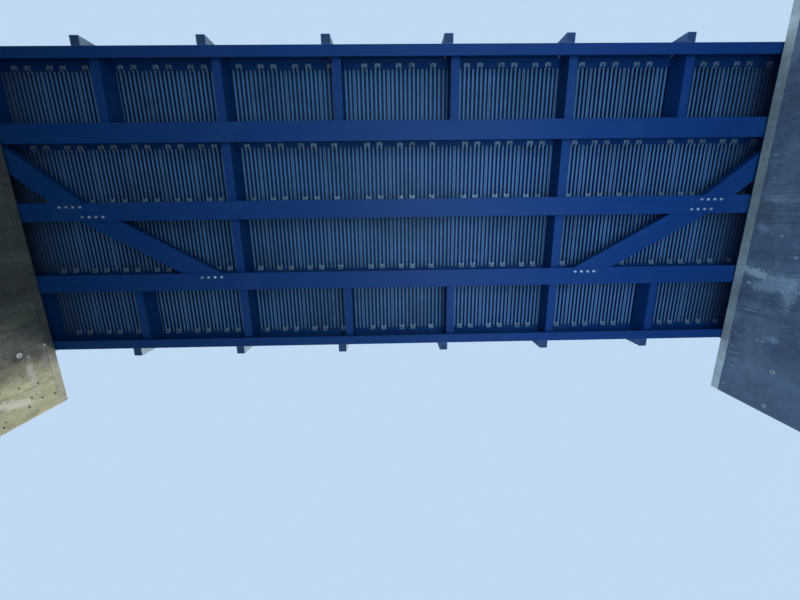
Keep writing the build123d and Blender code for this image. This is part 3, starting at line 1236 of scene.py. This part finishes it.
@dataclass
class CleatBolts(SubAssembly):
    """The bolts that hold the angle cleats of the cross members, with their heads inside the channels."""

    channel_flange: float = 0.075
    channel_web: float = 0.010
    cleat_leg: float = 0.060
    cleat_plate: float = 0.008
    off_middle: float = 0.007
    heights: Pair = (0.035, 0.105)
    # the X of the posts that have a cross member, for each bay
    bays: tuple[Numbers, ...] = (EVERY_POST, (-1.5, 1.5), (-1.5, 1.5), EVERY_POST)

    def build(self) -> None:
        """Makes the bolts of each bay."""
        bolt = Fastener(0.019, 0.008, 0.0125, washer_plate=0.002).build()
        rng = random.Random(SEED + 3)
        leg = self.cleat_leg / 2 + self.off_middle
        for bay, posts in enumerate(self.bays, start=1):
            low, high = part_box(f"cleats_bay_{bay}")
            places = []
            for post in posts:
                away = 1 if post > 0 else -1
                web = post + CROSS_OFFSET - away * (self.channel_flange / 2 - self.channel_web)
                for face, inward in ((low.y, 1), (high.y, -1)):
                    for height in self.heights:
                        z = low.z + height
                        on_beam = Vector((web + away * leg, face + inward * self.cleat_plate, z))
                        places.append(facing(on_beam, Vector((0, inward, 0)), rng.uniform(0, math.pi)))
                        on_web = Vector((web + away * self.cleat_plate, face + inward * leg, z))
                        places.append(facing(on_web, Vector((away, 0, 0)), rng.uniform(0, math.pi)))
            self.hand_over(repeat(bolt, places, f"cleat_bolts_bay_{bay}"), "stainless_steel")
        discard(bolt)


@dataclass
class ParapetFixings(SubAssembly):
    """The bolts, screws, end caps and foot plugs of the parapets."""

    bolt_heights: Pair = (0.070, 0.190)
    beam_web: float = 0.012
    mid_rails: tuple[str, ...] = ("mid_rail_1", "mid_rail_2", "mid_rail_3")
    board_screws: Pair = (0.035, 0.115)
    cap: float = 0.004
    cap_margin: float = 0.001
    cap_inset: Pair = (0.004, 0.0015)
    handrail_corner: float = 0.020
    mid_rail_corner: float = 0.005
    post_wall: float = 0.008
    plug_base: float = 0.001
    plug_top: float = 0.014
    plug_gap: float = 0.0005
    plug_corner: float = 0.006
    plug_insets: tuple[Numbers, ...] = ((0.0025, 0.0), (0.0015, -0.002))

    def post_feet(self, side: Side) -> list[Vector]:
        """Where the posts of one side end.

        Args:
            side: the side of the bridge.

        Returns:
            The middle of each foot.
        """
        low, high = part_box(f"{side.name.lower()}_posts")
        first = low.x + POST_SIZE / 2
        return [Vector((first + i * POST_PITCH, (low.y + high.y) / 2, low.z)) for i in range(POSTS_A_SIDE)]

    def places(self, side: Side, rng: random.Random) -> dict[str, list[Matrix]]:
        """Where the fasteners of one side go.

        Args:
            side: the side of the bridge.
            rng: turns the bolts and the nuts.

        Returns:
            The places of each kind of fastener.
        """
        outward = Vector((0, side.value, 0))
        bolts, nuts, screws = [], [], []
        for foot in self.post_feet(side):
            for height in self.bolt_heights:
                level = foot + Vector((0, 0, height))
                bolts.append(facing(level + outward * POST_SIZE / 2, outward, rng.uniform(0, math.pi)))
                inner = level - outward * (POST_SIZE / 2 + self.beam_web)
                nuts.append(facing(inner, -outward, rng.uniform(0, math.pi)))
            for part in (*self.mid_rails, "kick_board"):
                low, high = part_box(f"{side.name.lower()}_{part}")
                face = low.y if side is Side.NEAR else high.y
                levels = [(low.z + high.z) / 2]
                if part == "kick_board":
                    levels = [low.z + height for height in self.board_screws]
                screws += [facing(Vector((foot.x, face, level)), -outward) for level in levels]
        return {"bolts": bolts, "nuts": nuts, "screws": screws}

    def build(self) -> None:
        """Makes the fixings of both sides."""
        rng = random.Random(SEED + 2)
        patterns = {
            "bolts": Fastener(0.024, 0.010, 0.0165).build(),
            "nuts": Fastener(0.019, 0.010, 0.0135, stub=0.004, washer_plate=0.002).build(),
            "screws": DomeHead().build(),
        }
        for side in Side:
            for label, places in self.places(side, rng).items():
                piece = repeat(patterns[label], places, f"{side.name.lower()}_post_{label}")
                self.hand_over(piece, "stainless_steel")
            self.build_caps(side)
            self.build_foot_plugs(side)
        for pattern in patterns.values():
            discard(pattern)

    def build_foot_plugs(self, side: Side) -> None:
        """Makes the plugs that close the open feet of one side's posts.

        Args:
            side: the side of the bridge.
        """
        half = POST_SIZE / 2 - self.post_wall - self.plug_gap
        plug = new_box((-half, -half, self.plug_base), (half, half, self.plug_top))
        with edit_mode(plug):
            bevel_edges(plug, lambda a, b: abs(a.z - b.z) > CLOSE, self.plug_corner)
            inset_faces(plug, lambda face: face.normal.z < -STRAIGHT, *self.plug_insets)
        smooth(plug, degrees=20)
        places = [Matrix.Translation(foot) for foot in self.post_feet(side)]
        self.hand_over(repeat(plug, places, f"{side.name.lower()}_post_plugs"), "plug_plastic", "parapet_grp")
        discard(plug)

    def build_caps(self, side: Side) -> None:
        """Makes the caps that close the ends of one side's rails.

        Args:
            side: the side of the bridge.
        """
        name = side.name.lower()
        caps = []
        for rail in ("handrail", *self.mid_rails):
            low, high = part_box(f"{name}_{rail}")
            # only the upper corners of the handrail are rounded
            corner, segments, above = self.mid_rail_corner, 2, 0.0
            if rail == "handrail":
                corner, segments, above = self.handrail_corner, 5, (low.z + high.z) / 2
            for end in End:
                near = high.x if end is End.RIGHT else low.x
                far = near + end.value * self.cap
                cap = new_box(
                    (min(near, far), low.y + self.cap_margin, low.z + self.cap_margin),
                    (max(near, far), high.y - self.cap_margin, high.z - self.cap_margin),
                )
                with edit_mode(cap):
                    bevel_edges(cap, lambda a, b: abs(a.x - b.x) > CLOSE and a.z > above, corner, segments)
                    inset_faces(cap, lambda face: face.normal.x * end.value > STRAIGHT, self.cap_inset)
                smooth(cap, degrees=30)
                caps.append(cap)
        self.hand_over(join(caps, f"{name}_rail_caps"), "cap_plastic", "parapet_grp")


@dataclass(frozen=True)
class Marks:
    """The larger marks on the face of a wall, each with the Y and Z of its middle."""

    tie_plugs: tuple[Numbers, ...]  # and the radius
    blowholes: tuple[Numbers, ...]  # and the radius
    scores: tuple[Numbers, ...] = ()  # and the length and the slope
    fins: tuple[Numbers, ...] = ()  # and the length, the width and the slope
    narrow_boards: Numbers = ()  # the Y of each joint


MARKS = {
    End.LEFT: Marks(
        tie_plugs=((1.215, 4.379, 0.027), (1.200, 4.600, 0.015), (-0.60, 4.379, 0.024), (0.30, 4.05, 0.024)),
        blowholes=(
            (1.687, 4.583, 0.017), (1.667, 4.466, 0.014), (1.621, 4.383, 0.013), (1.695, 4.347, 0.017),
            (1.496, 4.308, 0.012), (1.521, 4.465, 0.013), (1.406, 4.361, 0.008), (1.758, 4.127, 0.012),
            (1.720, 4.150, 0.009), (1.44, 4.42, 0.006), (1.33, 4.51, 0.006),
        ),
    ),
    End.RIGHT: Marks(
        tie_plugs=(
            (0.703, 4.544, 0.018), (0.733, 4.176, 0.022), (0.445, 4.225, 0.016), (1.749, 4.186, 0.023),
            (1.426, 4.186, 0.024), (1.719, 4.563, 0.014), (-0.80, 4.190, 0.020), (1.193, 4.362, 0.011),
            (1.194, 4.315, 0.011), (-0.389, 4.551, 0.012), (0.280, 4.362, 0.012),
        ),
        blowholes=((1.172, 4.392, 0.008), (1.185, 4.336, 0.008), (0.9, 4.36, 0.007), (-0.3, 4.5, 0.007)),
        scores=((0.923, 4.474, 0.14, 1.63), (0.965, 4.507, 0.18, 1.52)),
        fins=(
            (0.913, 4.474, 0.143, 0.006, 0.06), (0.954, 4.507, 0.188, 0.006, -0.05),
            (1.322, 4.560, 0.085, 0.007, 0.35), (1.381, 4.530, 0.115, 0.007, -0.16),
            (1.444, 4.534, 0.094, 0.007, -0.12), (1.178, 4.578, 0.078, 0.005, 0.34),
            (1.203, 4.534, 0.092, 0.005, 0.21), (1.510, 4.535, 0.052, 0.006, 0.16),
            (0.105, 4.330, 0.114, 0.004, 0.01), (0.140, 4.355, 0.160, 0.004, 0.01),
            (0.035, 4.348, 0.130, 0.004, 0.05), (0.000, 4.350, 0.116, 0.004, 0.09),
            (-0.203, 4.542, 0.065, 0.004, 0.10), (-0.168, 4.535, 0.064, 0.004, 0.10),
        ),
        narrow_boards=tuple(-0.07 + 0.035 * i for i in range(8)),
    ),
}


@dataclass
class AbutmentWall(SubAssembly):
    """An abutment's front wall, with the marks of upright form boards, tie holes, blowholes and chips."""

    end: End
    board: float = 0.28
    board_kinds: int = 3
    groove: float = 0.004
    half_joint: float = 0.0022
    arris: float = 0.015
    relief: Pair = (0.0012, 0.0024)
    # the least share of a normal that tells the face from the bevels beside it
    flat: float = 0.99
    flush: float = 0.0005
    lifts: Numbers = (1.2, 2.4, 3.6)
    hole_depth: float = 0.016
    hole_taper: float = 0.7
    score: Pair = (0.009, 0.005)
    chips: int = 26
    chip_sizes: Pair = (0.008, 0.026)
    chip_stretch: Pair = (1.0, 3.0)
    chip_turn: float = 3.0
    # how far the chips stay from the wall's foot and from its top
    chip_margins: Pair = (0.3, 0.2)
    plug_fit: float = 0.86
    plug_depth: float = 0.012
    # the rim, the slope and the dish of a plug: a share of its radius, and a depth
    plug_insets: tuple[Numbers, ...] = ((0.10, 0.0025), (0.28, -0.0005), (0.10, -0.009))
    fin_reach: float = 0.004
    fin_bevel: float = 0.35

    def __post_init__(self) -> None:
        """Reads the wall's box and lays out its form boards."""
        self.name = self.end.name.lower()
        self.marks = MARKS[self.end]
        self.low, self.high = (Vector(corner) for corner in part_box(f"{self.name}_abutment"))
        low, high = self.low.y, self.high.y
        boards = round((high - low) / self.board)
        joints = [low + (high - low) * i / boards for i in range(1, boards)]
        self.joints = sorted([*joints, *self.marks.narrow_boards])
        self.rng = random.Random(SEED + 4 + self.end.value)
        across, up = len(self.joints) + 1, len(self.lifts) + 1
        self.kinds = [[self.rng.randrange(self.board_kinds) for _ in range(across)] for _ in range(up)]
        if self.end is End.RIGHT:
            self.face = self.low.x
            self.low.x += self.groove
        else:
            self.face = self.high.x
            self.high.x -= self.groove

    def kind_of(self, face: Face) -> int:
        """The kind of board that a face is the mark of.

        Args:
            face: a face of the wall.

        Returns:
            The board's kind, or 0 for what doesn't stand in the wall's face.
        """
        if abs(face.center.x - self.face) > self.flush:
            return 0
        return self.kinds[bisect_left(self.lifts, face.center.z)][bisect_left(self.joints, face.center.y)]

    def build(self) -> None:
        """Makes the wall, the plugs in its tie holes and the fins on its face."""
        inward = self.end.value
        wall = new_box(self.low, self.high)
        wall.name = f"{self.name}_board_marked_wall"
        with edit_mode(wall):
            bevel_edges(wall, lambda a, b: abs(a.z - b.z) > CLOSE, self.arris)
            for y in self.joints:
                bisect_all((0, y, 0), (0, 1, 0))
            for lift in self.lifts:
                bisect_all((0, 0, lift), (0, 0, 1))
            select_faces(wall, lambda face: face.normal.x * inward < -self.flat)
            bpy.ops.mesh.inset(thickness=self.half_joint, depth=self.groove, use_individual=True)
            for kind, depth in enumerate(self.relief, start=1):
                select_faces(wall, lambda face: self.kind_of(face) == kind)
                bpy.ops.transform.translate(value=(inward * depth, 0, 0))
        cut_away(wall, join([*self.hole_cutters(), *self.score_cutters(), *self.chip_cutters(wall)]))
        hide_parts(f"{self.name}_abutment")
        self.hand_over(wall, f"{self.name}_concrete", "abutment_concrete")
        self.build_plugs()
        if self.marks.fins:
            self.build_fins()

    def on_face(self, y: float, z: float, slope: float) -> Matrix:
        """A place on the wall's face, turned by a slope."""
        return Matrix.Translation((self.face, y, z)) @ Matrix.Rotation(slope, 4, "X")

    def hole_cutters(self) -> Iterator[Piece]:
        """Makes the cones that cut the tie holes and the blowholes.

        Yields:
            Each cone.
        """
        for y, z, radius in (*self.marks.tie_plugs, *self.marks.blowholes):
            deselect_all()
            bpy.ops.mesh.primitive_cone_add(
                vertices=14,
                radius1=radius,
                radius2=radius * self.hole_taper,
                depth=2 * self.hole_depth,
                location=(self.face, y, z),
                rotation=(0, self.end.value * math.pi / 2, 0),
            )
            yield settled()

    def score_cutters(self) -> Iterator[Piece]:
        """Makes the slips that cut the scores.

        Yields:
            Each slip.
        """
        deep, wide = self.score
        for y, z, length, slope in self.marks.scores:
            cutter = new_box((-deep, -length / 2, -wide), (deep, length / 2, wide))
            cutter.data.transform(self.on_face(y, z, slope))
            yield cutter

    def chip_cutters(self, wall: Piece) -> Iterator[Piece]:
        """Makes the lumps that chip the wall's corners.

        Args:
            wall: the wall.

        Yields:
            Each lump.
        """
        low, high = Vector(wall.bound_box[0]), Vector(wall.bound_box[6])
        rng = self.rng
        foot, top = self.chip_margins
        for _ in range(self.chips):
            size = rng.uniform(*self.chip_sizes)
            corner = rng.choice((low.y, high.y))
            deselect_all()
            bpy.ops.mesh.primitive_ico_sphere_add(
                subdivisions=2,
                radius=size,
                location=(self.face + self.end.value * self.groove, corner, rng.uniform(foot, high.z - top)),
                rotation=[rng.uniform(0, self.chip_turn) for _ in range(3)],
                scale=(1, 1, rng.uniform(*self.chip_stretch)),
            )
            yield settled()

    def build_plugs(self) -> None:
        """Makes the dished mortar plugs in the tie holes."""
        plugs = []
        for y, z, radius in self.marks.tie_plugs:
            plug = new_disc(radius * self.plug_fit, -self.plug_depth, self.plug_depth, sides=18)
            with edit_mode(plug):
                inset_faces(plug, looks_up, *((radius * share, depth) for share, depth in self.plug_insets))
            plug.data.transform(facing(Vector((self.face, y, z)), Vector((-self.end.value, 0, 0))))
            smooth(plug, degrees=60)
            plugs.append(plug)
        self.hand_over(join(plugs, f"{self.name}_tie_plugs"), f"{self.name}_mortar", "abutment_concrete")

    def build_fins(self) -> None:
        """Makes the thin fins where mortar seeped between the form boards."""
        reach = self.fin_reach
        fins = []
        for y, z, length, width, slope in self.marks.fins:
            fin = new_box((-reach, -width / 2, -length / 2), (reach, width / 2, length / 2))
            with edit_mode(fin):
                bevel_edges(fin, lambda a, b: abs(a.x - b.x) < CLOSE, width * self.fin_bevel)
            fin.data.transform(self.on_face(y, z, slope))
            fins.append(fin)
        piece = join(fins, f"{self.name}_mortar_fins")
        smooth(piece, degrees=40)
        self.hand_over(piece, f"{self.name}_mortar", "abutment_concrete")


def main() -> None:
    """Builds the scene."""
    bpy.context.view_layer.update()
    bpy.context.scene.view_settings.view_transform = "Standard"
    Viewpoint().build()
    finishes = Finishes()
    finishes.build()
    finishes.dress_nodes()
    for end in End:
        AbutmentWall(finishes, end).build()
    for kind in (DeckClips, BraceBolts, CleatBolts, ParapetFixings):
        kind(finishes).build()
    Setting().build()


if __name__ == "__main__":
    main()
